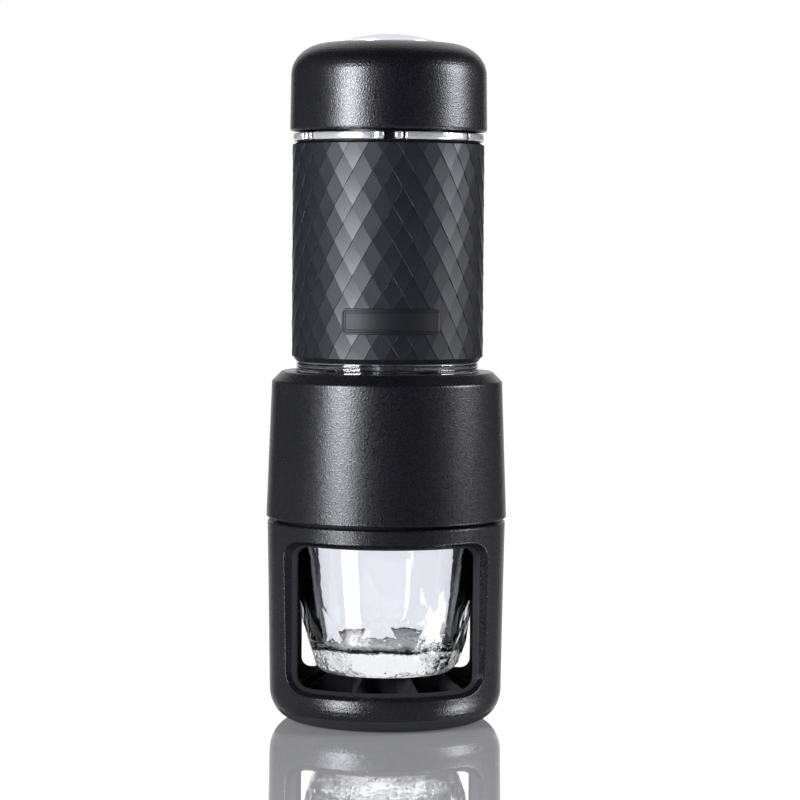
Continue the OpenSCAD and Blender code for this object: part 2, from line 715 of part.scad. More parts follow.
module valve_block() {
    seat_h = (chamber_r - seat_r) * 0.6;
    seat_drop = 0.5;
    screw_hole_depth = 3.4;
    color([0.75, 0.62, 0.35]) difference() {
        union() {
            translate([0, 0, block_foot]) cylinder(r = block_flange_r, h = block_flange_t);
            translate([0, 0, block_foot]) cylinder(r = block_r, h = block_neck_z - block_foot);
            translate([0, 0, block_neck_z - eps]) cylinder(r = block_neck_r, h = block_neck_h + eps);
        }
        translate([0, 0, port_z - seat_drop]) cylinder(r = seat_r, h = seat_z - port_z + seat_drop + eps);
        translate([0, 0, seat_z]) cylinder(r1 = seat_r, r2 = chamber_r, h = seat_h);
        translate([0, 0, seat_z + seat_h - eps]) cylinder(r = chamber_r, h = block_top);
        translate([-block_r - past, 0, port_z]) rotate([0, 90, 0])
            cylinder(r = port_r, h = 2 * block_r + 2 * past);
        around(outlets, outlet_angle) translate([outlet_circle_r, 0, block_foot - past])
            cylinder(r = outlet_r, h = block_top - block_foot + 2 * past, $fn = 24);
        outer_groove(block_r, small_seal_w, small_seal_w + 2 * face_gap, tank_floor_z + tank_floor_t / 2);
        outer_groove(block_neck_r, small_seal_w / 2 + fit_gap, small_seal_w / 2 + 2 * face_gap, barrel_seal_z);
        translate([0, 0, block_foot - past]) cylinder(r = screw_r + fit_gap, h = past + screw_hole_depth);
    }
}

module block_seal() {
    color([0.1, 0.1, 0.1]) o_ring(block_r, small_seal_w - fit_gap, tank_floor_z + tank_floor_t / 2);
}

module pump_barrel() {
    collar_z = tank_floor_top + face_gap / 2;
    collar_top = block_neck_z + 2.4;
    collar_cut = 1;
    mouth_cut = [0.5, 1];
    color([0.8, 0.8, 0.82]) difference() {
        revolved([
            [block_r + fit_gap, collar_z], [barrel_collar_r, collar_z],
            [barrel_collar_r, collar_top - collar_cut], [barrel_collar_r - collar_cut, collar_top],
            [barrel_r, collar_top + collar_cut], [barrel_r, barrel_top],
            [bore_r + mouth_cut[0], barrel_top], [bore_r, barrel_top - mouth_cut[1]],
            [bore_r, block_top + face_gap / 2], [block_neck_r + fit_gap, block_top + face_gap / 2],
            [block_neck_r + fit_gap, block_neck_z + face_gap / 2],
            [block_r + fit_gap, block_neck_z + face_gap / 2]]);
        translate([-barrel_collar_r - past, 0, port_z]) rotate([0, 90, 0])
            cylinder(r = port_r, h = 2 * barrel_collar_r + 2 * past);
    }
}

module barrel_seal() {
    color([0.1, 0.1, 0.1]) o_ring(block_neck_r, small_seal_w / 2, barrel_seal_z);
}

module ball_retainer() {
    vent_r = 0.7;
    color([0.7, 0.7, 0.72]) difference() {
        translate([0, 0, retainer_z]) cylinder(r = bore_r - fit_gap, h = retainer_t);
        around(outlets, outlet_angle) translate([outlet_circle_r, 0, retainer_z - past])
            cylinder(r = outlet_r + 0.2, h = retainer_t + 2 * past, $fn = 24);
        around(outlets, outlet_angle + 180 / outlets) translate([chamber_r * 0.6, 0, retainer_z - past])
            cylinder(r = vent_r, h = retainer_t + 2 * past, $fn = 24);
    }
}

module outlet_valve() {
    disc_t = 0.7;
    disc_bore_r = 1.6;
    disc_r = outlet_circle_r + outlet_r + 1.2;
    color([0.85, 0.85, 0.83])
        ring(disc_bore_r, disc_r, block_foot - disc_t, block_foot - face_gap / 2);
}

module basket_gasket() {
    color([0.75, 0.25, 0.15]) ring(gasket_bore_r, gasket_r, gasket_z, tank_floor_z - face_gap / 2);
}

module shower_screen() {
    screen_t = 0.5;
    wall_t = 0.6;
    wall_h = 1.6;
    hole_rings = 4;
    hole_step = screen_r / (hole_rings + 1);
    color([0.78, 0.78, 0.8]) difference() {
        union() {
            translate([0, 0, screen_foot]) cylinder(r = screen_r, h = screen_t);
            ring(screen_r - wall_t, screen_r, screen_foot, screen_foot + wall_h);
        }
        for (k = [1:hole_rings]) around(6 * k) translate([k * hole_step, 0, screen_foot - past])
            cylinder(d = basket_hole_d, h = screen_t + 2 * past, $fn = 6);
        translate([0, 0, screen_foot - past]) cylinder(r = screw_r + screen_gap, h = 2 * past + screen_t);
    }
}

module screen_screw() {
    head_t = 1;
    head_r = 2.8;
    shank_in = 3;
    key_r = 1.1;
    key_depth = 0.7;
    head_z = screen_foot - head_t;
    color([0.7, 0.7, 0.72]) difference() {
        union() {
            translate([0, 0, head_z]) cylinder(r = head_r, h = head_t - face_gap / 2);
            translate([0, 0, head_z]) cylinder(r = screw_r, h = block_foot + shank_in - head_z);
        }
        translate([0, 0, head_z - past]) cylinder(r = key_r, h = past + key_depth, $fn = 6);
    }
}

module inlet_ball() {
    color([0.85, 0.85, 0.87]) translate([0, 0, ball_z]) sphere(d = ball_d, $fn = 48);
}

// ---- lid ----

lid_seal_rise = 9;
lid_seal_z = plug_z + lid_seal_rise;

module lid_seal() {
    color([0.1, 0.1, 0.1]) o_ring(tank_bore_r - running_gap, small_seal_w, lid_seal_z);
}

module tank_lid() {
    seal_depth = small_seal_w - screw_gap + running_gap + fit_gap;
    foot_cut = 0.6;
    catch_root = 0.5;
    color([0.75, 0.77, 0.8, 0.6]) difference() {
        union() {
            revolved([
                [bush_r + fit_gap, plug_z], [plug_r - foot_cut, plug_z], [plug_r, plug_z + foot_cut],
                [plug_r, lid_flange_z], [lid_flange_r, lid_flange_z],
                [lid_flange_r, lid_flange_z + lid_flange_t], [well_r, lid_flange_z + lid_flange_t],
                [well_r, well_floor], [bush_r + fit_gap, well_floor]]);
            around(lugs, lock_angle)
                ring_slice(plunger_r + screw_gap, well_r + catch_root, catch_z, catch_z + lug_h, lug_angle);
        }
        outer_groove(plug_r, seal_depth, small_seal_w + 2 * face_gap, lid_seal_z);
    }
}

module lid_ring() {
    ring_bevel = 0.6;
    wide_notch = [3.4, 0.9];
    shallow_notch = [1.9, 0.3];
    slot = [1, 0.7];
    bright_edge = 0.3;
    // Each notch as [angle from the front, [width, depth]]
    notches = [[0.8, wide_notch], [-8.7, shallow_notch], [9.4, slot], [54, slot],
               [-51, slot], [-55.5, slot], [-60, slot]];
    color([0.85, 0.85, 0.88]) difference() {
        revolved([
            [ring_bore_r, ring_plate_z], [lid_flange_r + fit_gap, ring_plate_z],
            [lid_flange_r + fit_gap, ring_z], [ring_r - ring_bevel, ring_z],
            [ring_r, ring_z + ring_bevel], [ring_r, ring_top - bright_edge],
            [ring_r - bright_edge, ring_top], [ring_bore_r, ring_top]]);
        for (side = [0, 180], n = notches) rotate(side + n[0])
            translate([-n[1][0] / 2, -ring_r - past, ring_z - past])
                cube([n[1][0], past + n[1][1], ring_band_h + 2 * past]);
    }
}

module rod_bush() {
    collar_t = 1;
    collar_w = 1.5;
    color([0.9, 0.9, 0.88]) difference() {
        union() {
            translate([0, 0, plug_z]) cylinder(r = bush_r, h = well_floor_t + face_gap);
            translate([0, 0, well_floor + face_gap / 2]) cylinder(r = bush_r + collar_w, h = collar_t);
        }
        translate([0, 0, plug_z - past])
            cylinder(r = rod_r + running_gap, h = well_floor_t + collar_t + 3 * past);
    }
}

// A helix of round wire as one closed tube with two flat ends
module return_spring() {
    per_turn = 8;
    sides = 6;
    wire_r = spring_wire / 2;
    z0 = well_floor + face_gap + wire_r;
    z1 = web_z - face_gap - wire_r;
    rings = spring_turns * per_turn;
    pitch = (z1 - z0) / spring_turns;
    mean_r = spring_d / 2;
    lean = atan(pitch / (2 * PI * mean_r));
    function centre(i) = let (a = 360 * i / per_turn)
        [mean_r * cos(a), mean_r * sin(a), z0 + pitch * i / per_turn];
    function section(i) = let (a = 360 * i / per_turn) [for (k = [0:sides - 1])
        let (b = 360 * k / sides, out = wire_r * cos(b), up = wire_r * sin(b))
        centre(i) + [out * cos(a) + up * sin(lean) * sin(a), out * sin(a) - up * sin(lean) * cos(a),
                     up * cos(lean)]];
    points = [for (i = [0:rings]) each section(i)];
    walls = [for (i = [0:rings - 1]) for (k = [0:sides - 1])
        let (a = i * sides + k, b = i * sides + (k + 1) % sides)
        each [[a, b + sides, a + sides], [a, b, b + sides]]];
    last = rings * sides;
    ends = [for (k = [1:sides - 2]) each [[0, k + 1, k], [last, last + k, last + k + 1]]];
    gap = min([for (i = [0:rings - per_turn])
        norm(centre(i + per_turn) - centre(i)) * cos(lean) - spring_wire]);
    echo("least gap between the spring's turns", gap);
    color([0.7, 0.7, 0.72]) polyhedron(points, concat(walls, ends));
}

// ---- plunger ----

module plunger_rod() {
    shoulder_z = web_z - face_gap - rod_shoulder_t;
    shoulder_w = 2;
    stud_end = 1;
    color([0.8, 0.8, 0.82]) union() {
        translate([0, 0, piston_top]) cylinder(r = rod_r, h = shoulder_z - piston_top + eps);
        translate([0, 0, piston_z + piston_foot_t]) cylinder(r = stud_r, h = piston_h - piston_foot_t + eps);
        translate([0, 0, shoulder_z]) cylinder(r = rod_r + shoulder_w, h = rod_shoulder_t);
        translate([0, 0, web_z - face_gap - eps])
            cylinder(r = stud_r, h = web_t + nut_h + 2 * face_gap + stud_end);
    }
}

module piston() {
    color([0.85, 0.85, 0.83]) difference() {
        translate([0, 0, piston_z]) cylinder(r = piston_r, h = piston_h - face_gap / 2);
        outer_groove(piston_r, small_seal_w, small_seal_w + 2 * face_gap, piston_z + piston_h / 2);
        translate([0, 0, piston_z + piston_foot_t - fit_gap]) cylinder(r = stud_r + fit_gap, h = piston_h);
    }
}

module piston_seal() {
    color([0.1, 0.1, 0.1]) o_ring(bore_r - running_gap, small_seal_w, piston_z + piston_h / 2);
}

module rod_nut() {
    color([0.7, 0.7, 0.72]) translate([0, 0, web_top + face_gap]) difference() {
        cylinder(r = nut_r, h = nut_h, $fn = 6);
        translate([0, 0, -past]) cylinder(r = stud_r + fit_gap, h = nut_h + 2 * past);
    }
}

// ---- cap ----

module cap_shell() {
    inner_r = cap_neck_r - cap_wall;
    inner_flat_r = plunger_r + screw_gap;
    edge = [cap_r, cap_z];
    side = [cap_neck_r, cap_round_z];
    color([0.13, 0.12, 0.15]) difference() {
        revolved(concat(
            [[0, cap_under]],
            arc_points(inner_flat_r, cap_round_z, inner_r - inner_flat_r, cap_round_h - cap_top_t, 90, 0, 8),
            [[cap_r - cap_wall, cap_z]],
            rounded_corner([cap_r - cap_wall, cap_z], edge, side, cap_edge_r),
            arc_points(cap_neck_r - cap_round_w, cap_round_z, cap_round_w, cap_round_h, 0, 90, 14),
            [[0, cap_top]]));
        translate([0, 0, cap_top - medallion_t]) cylinder(r = medallion_r + fit_gap, h = medallion_t + past);
    }
}

module plunger_sleeve() {
    lug_root = 0.5;
    color([0.12, 0.12, 0.13]) union() {
        difference() {
            union() {
                ring(plunger_bore_r, plunger_r, plunger_z, cap_under - fit_gap);
                translate([0, 0, web_z]) cylinder(r = plunger_r, h = web_t);
            }
            translate([0, 0, web_z - past]) cylinder(r = stud_r + running_gap, h = web_t + 2 * past);
        }
        around(lugs) ring_slice(plunger_r - lug_root, lug_r, plunger_z, lug_top, lug_angle);
    }
}

module cap_medallion() {
    dome_r = (medallion_r * medallion_r + medallion_rise * medallion_rise) / (2 * medallion_rise);
    floor_z = cap_top - medallion_t + fit_gap;
    color([0.85, 0.85, 0.87]) intersection() {
        translate([0, 0, floor_z]) cylinder(r = medallion_r, h = medallion_t + medallion_rise + past);
        translate([0, 0, cap_top + medallion_rise - dome_r]) sphere(r = dome_r, $fn = 180);
    }
}

cup_holder();
foot_pad();
glass_cup();
housing_seal();
housing_shell();
brew_cup();
brew_cup_seal();
filter_basket();
tank_seal();
water_tank();
grip_sleeve();
valve_block();
block_seal();
pump_barrel();
barrel_seal();
ball_retainer();
outlet_valve();
basket_gasket();
shower_screen();
screen_screw();
inlet_ball();
lid_seal();
tank_lid();
lid_ring();
rod_bush();
return_spring();
plunger_rod();
piston();
piston_seal();
rod_nut();
cap_shell();
plunger_sleeve();
cap_medallion();
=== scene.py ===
"""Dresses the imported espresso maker: finishes for every solid, the diamond grip sleeve, the
blank plaque, the domed medallion, the cut glass and the screw threads, in a plain studio."""
import json
import math

import bmesh
import bpy
from mathutils import Matrix, Vector


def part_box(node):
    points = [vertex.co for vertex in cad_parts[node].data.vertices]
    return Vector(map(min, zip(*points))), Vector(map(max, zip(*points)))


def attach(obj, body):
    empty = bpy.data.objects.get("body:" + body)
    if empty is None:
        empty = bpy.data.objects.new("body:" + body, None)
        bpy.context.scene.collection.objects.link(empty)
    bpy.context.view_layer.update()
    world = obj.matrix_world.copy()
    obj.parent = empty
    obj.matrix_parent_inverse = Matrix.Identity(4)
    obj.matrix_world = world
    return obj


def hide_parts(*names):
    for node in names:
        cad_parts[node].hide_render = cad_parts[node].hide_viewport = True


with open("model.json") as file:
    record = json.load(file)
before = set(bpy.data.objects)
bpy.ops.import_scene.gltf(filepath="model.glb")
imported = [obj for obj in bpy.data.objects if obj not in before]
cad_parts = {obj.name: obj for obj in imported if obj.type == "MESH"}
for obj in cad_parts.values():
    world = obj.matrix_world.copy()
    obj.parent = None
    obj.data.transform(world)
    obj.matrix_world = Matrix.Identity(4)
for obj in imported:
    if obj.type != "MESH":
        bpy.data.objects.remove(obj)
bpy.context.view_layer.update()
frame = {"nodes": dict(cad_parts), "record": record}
nodes = frame["nodes"]

MM = 0.001
UP = Vector((0, 0, 1))
ORIGIN = Vector((0, 0, 0))


# ---- sizes read from the frame ----

def radius_of(node):
    low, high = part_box(node)
    return (high.x - low.x) / 2


def bottom_of(node):
    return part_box(node)[0].z


def top_of(node):
    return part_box(node)[1].z


# ---- small modelling helpers ----

def new_piece(name, bm, body, slot, smooth_below):
    """Writes bm to a mesh object that rides on body, in the finish of its slot. Edges that
    turn less than smooth_below degrees are shaded smooth."""
    mesh = bpy.data.meshes.new(name)
    bm.to_mesh(mesh)
    bm.free()
    piece = bpy.data.objects.new(name, mesh)
    bpy.context.scene.collection.objects.link(piece)
    mesh.materials.append(MATERIALS[slot])
    mesh.shade_smooth()
    mesh.set_sharp_from_angle(angle=math.radians(smooth_below))
    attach(piece, body)
    return piece


def everything(bm):
    return bm.verts[:] + bm.edges[:] + bm.faces[:]


def verts_in(items):
    return [item for item in items if isinstance(item, bmesh.types.BMVert)]


def merge_and_face_out(bm, distance=1e-7):
    bmesh.ops.remove_doubles(bm, verts=bm.verts, dist=distance)
    bmesh.ops.recalc_face_normals(bm, faces=bm.faces)


def on_drum(angle, radius, z):
    """A point on a cylinder, with angle 0 at the front and growing towards +X."""
    return Vector((radius * math.sin(angle), -radius * math.cos(angle), z))


def outline_edges(bm, points):
    """Adds an open line through points given as (radius, z) in the XZ plane."""
    line = [bm.verts.new((radius, 0, z)) for radius, z in points]
    return [bm.edges.new(pair) for pair in zip(line, line[1:])], line


def spun(points, steps):
    """A closed shape of revolution from an outline that starts and ends on the axis or
    meets itself."""
    bm = bmesh.new()
    edges, line = outline_edges(bm, points)
    if (line[0].co - line[-1].co).length > 1e-9 and (points[0][0] > 1e-9 or points[-1][0] > 1e-9):
        edges.append(bm.edges.new((line[-1], line[0])))
    bmesh.ops.spin(bm, geom=edges + line, cent=ORIGIN, axis=UP, angle=math.tau, steps=steps,
                   use_merge=True, use_duplicate=False)
    merge_and_face_out(bm)
    return bm


# ---- shader groups ----

def shader_group(name, inputs, outputs):
    """An empty node group with float inputs and typed outputs."""
    group = bpy.data.node_groups.new(name, "ShaderNodeTree")
    for label, value in inputs:
        socket = group.interface.new_socket(name=label, in_out="INPUT",
                                            socket_type="NodeSocketFloat")
        socket.default_value = value
    for label, kind in outputs:
        group.interface.new_socket(name=label, in_out="OUTPUT", socket_type=kind)
    return group, group.nodes.new("NodeGroupInput"), group.nodes.new("NodeGroupOutput")


def add_node(tree, kind, **settings):
    node = tree.nodes.new(kind)
    for key, value in settings.items():
        setattr(node, key, value)
    return node


def maths(tree, operation, a, b=None):
    node = add_node(tree, "ShaderNodeMath", operation=operation)
    for socket, value in zip(node.inputs, (a, b)):
        if value is None:
            continue
        if isinstance(value, (int, float)):
            socket.default_value = value
        else:
            tree.links.new(value, socket)
    return node.outputs[0]


def ramp_between(tree, value, low, high, out_low=0.0, out_high=1.0):
    node = add_node(tree, "ShaderNodeMapRange", clamp=True)
    tree.links.new(value, node.inputs["Value"])
    for label, number in (("From Min", low), ("From Max", high),
                          ("To Min", out_low), ("To Max", out_high)):
        node.inputs[label].default_value = number
    return node.outputs["Result"]


def make_spark_grain():
    """Fine grain of a spark-eroded mould: a glittering height and a slow variation."""
    group, inlet, outlet = shader_group(
        "spark_grain", [("Grain per metre", 2500.0)],
        [("Height", "NodeSocketFloat"), ("Patch", "NodeSocketFloat")])
    links = group.links
    coords = add_node(group, "ShaderNodeTexCoord")
    speck = add_node(group, "ShaderNodeTexNoise")
    speck.inputs["Detail"].default_value = 0.5
    speck.inputs["Roughness"].default_value = 0.55
    links.new(coords.outputs["Object"], speck.inputs["Vector"])
    links.new(inlet.outputs["Grain per metre"], speck.inputs["Scale"])
    slow = add_node(group, "ShaderNodeTexNoise")
    slow.inputs["Scale"].default_value = 55.0
    slow.inputs["Detail"].default_value = 2.0
    links.new(coords.outputs["Object"], slow.inputs["Vector"])
    links.new(speck.outputs["Fac"], outlet.inputs["Height"])
    links.new(slow.outputs["Fac"], outlet.inputs["Patch"])
    return group


def make_turning_marks():
    """Fine rings left by a lathe round the maker's axis, with faint cross scratches."""
    group, inlet, outlet = shader_group(
        "turning_marks", [("Rings per metre", 5000.0)],
        [("Height", "NodeSocketFloat"), ("Streak", "NodeSocketFloat")])
    links = group.links
    coords = add_node(group, "ShaderNodeTexCoord")
    split = add_node(group, "ShaderNodeSeparateXYZ")
    links.new(coords.outputs["Object"], split.inputs[0])
    squares = [maths(group, "POWER", split.outputs[axis], 2.0) for axis in (0, 1)]
    radius = maths(group, "SQRT", maths(group, "ADD", *squares))
    along = add_node(group, "ShaderNodeCombineXYZ")
    links.new(maths(group, "ADD", radius, split.outputs[2]), along.inputs[0])
    lines = add_node(group, "ShaderNodeTexNoise")
    lines.inputs["Detail"].default_value = 4.0
    links.new(along.outputs[0], lines.inputs["Vector"])
    links.new(inlet.outputs["Rings per metre"], lines.inputs["Scale"])
    smear = add_node(group, "ShaderNodeTexNoise")
    smear.inputs["Scale"].default_value = 160.0
    smear.inputs["Detail"].default_value = 3.0
    links.new(coords.outputs["Object"], smear.inputs["Vector"])
    links.new(lines.outputs["Fac"], outlet.inputs["Height"])
    links.new(smear.outputs["Fac"], outlet.inputs["Streak"])
    return group


def make_soft_mottle():
    """Slow mottling and a fine pore, for rubber, silicone and plain mouldings."""
    group, inlet, outlet = shader_group(
        "soft_mottle", [("Pores per metre", 2600.0), ("Clouds per metre", 90.0)],
        [("Height", "NodeSocketFloat"), ("Cloud", "NodeSocketFloat")])
    links = group.links
    coords = add_node(group, "ShaderNodeTexCoord")
    pores = add_node(group, "ShaderNodeTexNoise")
    pores.inputs["Detail"].default_value = 2.0
    links.new(coords.outputs["Object"], pores.inputs["Vector"])
    links.new(inlet.outputs["Pores per metre"], pores.inputs["Scale"])
    clouds = add_node(group, "ShaderNodeTexNoise")
    clouds.inputs["Detail"].default_value = 4.0
    links.new(coords.outputs["Object"], clouds.inputs["Vector"])
    links.new(inlet.outputs["Clouds per metre"], clouds.inputs["Scale"])
    links.new(pores.outputs["Fac"], outlet.inputs["Height"])
    links.new(clouds.outputs["Fac"], outlet.inputs["Cloud"])
    return group


SPARK_GRAIN = make_spark_grain()
TURNING_MARKS = make_turning_marks()
SOFT_MOTTLE = make_soft_mottle()


# ---- materials ----

# nearly all of a noise lies between these two
CLOUD_BAND = (0.3, 0.7)
GRAIN_BAND = (0.35, 0.65)
GRAIN_DEPTH = 0.07 * MM
PORE_DEPTH = 0.02 * MM
# rounding that the finish gives to the moulded edges
MOULD_EDGE = 0.5 * MM
# how far the dull inside of the cup holder lies under its widest outside
HOLDER_SKIN = 2.6 * MM
# distance between the faint rings round the bare neck of the tank
NECK_RING = 1.3 * MM
# name of the mesh attribute that grows from 0 to 1 down each pad of the grip sleeve; the pads'
# painted shading and their roughness follow it
PAD_SHARE = "pad_share"


def start_material(name, group, **inputs):
    """A material with a Principled BSDF and one placed shader group."""
    material = bpy.data.materials.new(name)
    material.use_nodes = True
    tree = material.node_tree
    shader = tree.nodes["Principled BSDF"]
    placed = add_node(tree, "ShaderNodeGroup", node_tree=group)
    for label, value in inputs.items():
        placed.inputs[label.replace("_", " ")].default_value = value
    return material, tree, shader, placed


def bump_from(tree, shader, height, distance, strength=1.0, edge_radius=None):
    """Fine relief from a height; an edge radius also gives sharp edges a rounded look."""
    bump = add_node(tree, "ShaderNodeBump")
    if edge_radius:
        soft_edge = add_node(tree, "ShaderNodeBevel", samples=6)
        soft_edge.inputs["Radius"].default_value = edge_radius
        tree.links.new(soft_edge.outputs["Normal"], bump.inputs["Normal"])
    bump.inputs["Strength"].default_value = strength
    bump.inputs["Distance"].default_value = distance
    tree.links.new(height, bump.inputs["Height"])
    tree.links.new(bump.outputs["Normal"], shader.inputs["Normal"])


def colour_between(tree, shader, factor, low, high, colour_a, colour_b):
    ramp = add_node(tree, "ShaderNodeValToRGB")
    ramp.color_ramp.elements[0].position = low
    ramp.color_ramp.elements[1].position = high
    ramp.color_ramp.elements[0].color = (*colour_a, 1)
    ramp.color_ramp.elements[1].color = (*colour_b, 1)
    tree.links.new(factor, ramp.inputs["Fac"])
    tree.links.new(ramp.outputs["Color"], shader.inputs["Base Color"])


def reach_from_axis(tree):
    """Object coordinates split into the distance from the maker's axis and the height."""
    coords = add_node(tree, "ShaderNodeTexCoord")
    split = add_node(tree, "ShaderNodeSeparateXYZ")
    tree.links.new(coords.outputs["Object"], split.inputs[0])
    level = add_node(tree, "ShaderNodeVectorMath", operation="MULTIPLY")
    level.inputs[1].default_value = (1, 1, 0)
    tree.links.new(coords.outputs["Object"], level.inputs[0])
    reach = add_node(tree, "ShaderNodeVectorMath", operation="LENGTH")
    tree.links.new(level.outputs[0], reach.inputs[0])
    return reach.outputs["Value"], split.outputs[2]


def black_moulding():
    """Spark textured outside; the walls of the cup's room inside the holder are duller."""
    material, tree, shader, grain = start_material("black_spark_textured_plastic", SPARK_GRAIN)
    colour_between(tree, shader, grain.outputs["Patch"], *GRAIN_BAND,
                   (0.0022, 0.0023, 0.0040), (0.0030, 0.0031, 0.0052))
    reach, height = reach_from_axis(tree)
    room_r, room_top = radius_of("cup_holder") - HOLDER_SKIN, bottom_of("housing_shell")
    within = ramp_between(tree, reach, room_r - 0.3 * MM, room_r + 0.3 * MM, 1.0, 0.0)
    below = ramp_between(tree, height, room_top - 0.4 * MM, room_top, 1.0, 0.0)
    dulled = maths(tree, "MULTIPLY", maths(tree, "MULTIPLY", within, below), 0.5)
    sheen = ramp_between(tree, grain.outputs["Height"], *GRAIN_BAND, 0.35, 0.24)
    tree.links.new(maths(tree, "ADD", sheen, dulled), shader.inputs["Roughness"])
    bump_from(tree, shader, grain.outputs["Height"], GRAIN_DEPTH, edge_radius=MOULD_EDGE)
    return material


def smooth_moulding():
    material, tree, shader, mottle = start_material("smooth_black_plastic", SOFT_MOTTLE)
    colour_between(tree, shader, mottle.outputs["Cloud"], *CLOUD_BAND,
                   (0.010, 0.010, 0.012), (0.015, 0.015, 0.018))
    sheen = ramp_between(tree, mottle.outputs["Cloud"], *CLOUD_BAND, 0.28, 0.38)
    tree.links.new(sheen, shader.inputs["Roughness"])
    bump_from(tree, shader, mottle.outputs["Height"], PORE_DEPTH)
    return material


def grip_silicone():
    """Matt and dark, with painted shading: each pad's colour goes from dark at its upper tip to
    lighter at its lower tip, and the pad is smoother towards its lower tip.
    """
    material, tree, shader, mottle = start_material("slate_grip_silicone", SOFT_MOTTLE,
                                                    Pores_per_metre=3200.0, Clouds_per_metre=140.0)
    shader.inputs["Specular IOR Level"].default_value = 0.32
    pad = add_node(tree, "ShaderNodeAttribute", attribute_name=PAD_SHARE)
    cloudy = maths(tree, "MULTIPLY", mottle.outputs["Cloud"], 0.2)
    # painted shade and light: the colour darkens towards each pad's upper tip and lightens towards
    # its lower tip, where light catches the pad; the faint clouds are the silicone's own mottle
    colour_between(tree, shader, maths(tree, "ADD", pad.outputs["Fac"], cloudy), 0.1, 1.1,
                   (0.0022, 0.0024, 0.0044), (0.0100, 0.0104, 0.0150))
    matt = ramp_between(tree, mottle.outputs["Cloud"], *CLOUD_BAND, 0.46, 0.50)
    worn = maths(tree, "MULTIPLY", pad.outputs["Fac"], 0.14)
    tree.links.new(maths(tree, "SUBTRACT", matt, worn), shader.inputs["Roughness"])
    bump_from(tree, shader, mottle.outputs["Height"], PORE_DEPTH)
    return material


def smoked_moulding():
    """Clear at the neck and frosted where the grip sleeve lies on it."""
    material, tree, shader, mottle = start_material("smoked_tank_plastic", SOFT_MOTTLE,
                                                    Clouds_per_metre=60.0)
    shader.inputs["Base Color"].default_value = (0.58, 0.585, 0.61, 1)
    shader.inputs["Transmission Weight"].default_value = 1.0
    shader.inputs["IOR"].default_value = 1.53
    height = reach_from_axis(tree)[1]
    sleeve_low = bottom_of("grip_sleeve")
    covered = ramp_between(tree, height, sleeve_low - 0.2 * MM, sleeve_low, 0.0, 0.45)
    haze = ramp_between(tree, mottle.outputs["Cloud"], *CLOUD_BAND, 0.03, 0.05)
    tree.links.new(maths(tree, "ADD", haze, covered), shader.inputs["Roughness"])
    # faint rings that the mould leaves round the bare neck
    rings = maths(tree, "SINE", maths(tree, "MULTIPLY", height, math.tau / NECK_RING))
    bare = ramp_between(tree, height, sleeve_low - 0.2 * MM, sleeve_low, 0.8, 0.0)
    uneven = maths(tree, "ADD", mottle.outputs["Cloud"], maths(tree, "MULTIPLY", rings, bare))
    bump_from(tree, shader, uneven, 0.04 * MM)
    return material


def cut_glass():
    """Clear, gently uneven, and livelier in the thick foot."""
    material, tree, shader, mottle = start_material("pressed_cut_glass", SOFT_MOTTLE,
                                                    Pores_per_metre=220.0, Clouds_per_metre=70.0)
    shader.inputs["Base Color"].default_value = (0.955, 0.965, 0.995, 1)
    shader.inputs["Transmission Weight"].default_value = 1.0
    shader.inputs["IOR"].default_value = 1.5
    shader.inputs["Roughness"].default_value = 0.0
    height = reach_from_axis(tree)[1]
    foot = bottom_of("glass_cup")
    lively = ramp_between(tree, height, foot + 8 * MM, foot + 13 * MM, 6.0, 0.0)
    ripple = maths(tree, "MULTIPLY", mottle.outputs["Height"], lively)
    uneven = maths(tree, "ADD", mottle.outputs["Cloud"], ripple)
    bump_from(tree, shader, uneven, 0.2 * MM, 0.6)
    return material


def bright_plating(name, colour, inner_colour, inner_r, metallic, roughness, edge_radius=None):
    """Plated plastic: part mirror, part white, with another colour inside inner_r. On the lid ring
    that near-black inner colour is painted shade in its notches and recesses.
    """
    material, tree, shader, marks = start_material(name, TURNING_MARKS)
    shader.inputs["Metallic"].default_value = metallic
    reach = reach_from_axis(tree)[0]
    outer = ramp_between(tree, reach, inner_r - 0.08 * MM, inner_r + 0.08 * MM)
    colour_between(tree, shader, outer, 0.0, 1.0, inner_colour, colour)
    sheen = ramp_between(tree, marks.outputs["Streak"], *CLOUD_BAND, roughness, roughness + 0.05)
    tree.links.new(sheen, shader.inputs["Roughness"])
    bump_from(tree, shader, marks.outputs["Height"], 0.002 * MM, edge_radius=edge_radius)
    return material


def turned_metal(name, colour, roughness):
    material, tree, shader, marks = start_material(name, TURNING_MARKS)
    shader.inputs["Metallic"].default_value = 1.0
    darker = tuple(channel * 0.85 for channel in colour)
    colour_between(tree, shader, marks.outputs["Streak"], *CLOUD_BAND, darker, colour)
    sheen = ramp_between(tree, marks.outputs["Streak"], *CLOUD_BAND, roughness, roughness + 0.1)
    tree.links.new(sheen, shader.inputs["Roughness"])
    bump_from(tree, shader, marks.outputs["Height"], 0.008 * MM)
    return material


def soft_seal(name, colour, roughness=0.5):
    material, tree, shader, mottle = start_material(name, SOFT_MOTTLE)
    lighter = tuple(min(1.0, channel * 1.2 + 0.004) for channel in colour)
    colour_between(tree, shader, mottle.outputs["Cloud"], *CLOUD_BAND, colour, lighter)
    sheen = ramp_between(tree, mottle.outputs["Cloud"], *CLOUD_BAND, roughness, roughness + 0.12)
    tree.links.new(sheen, shader.inputs["Roughness"])
    bump_from(tree, shader, mottle.outputs["Height"], PORE_DEPTH)
    return material


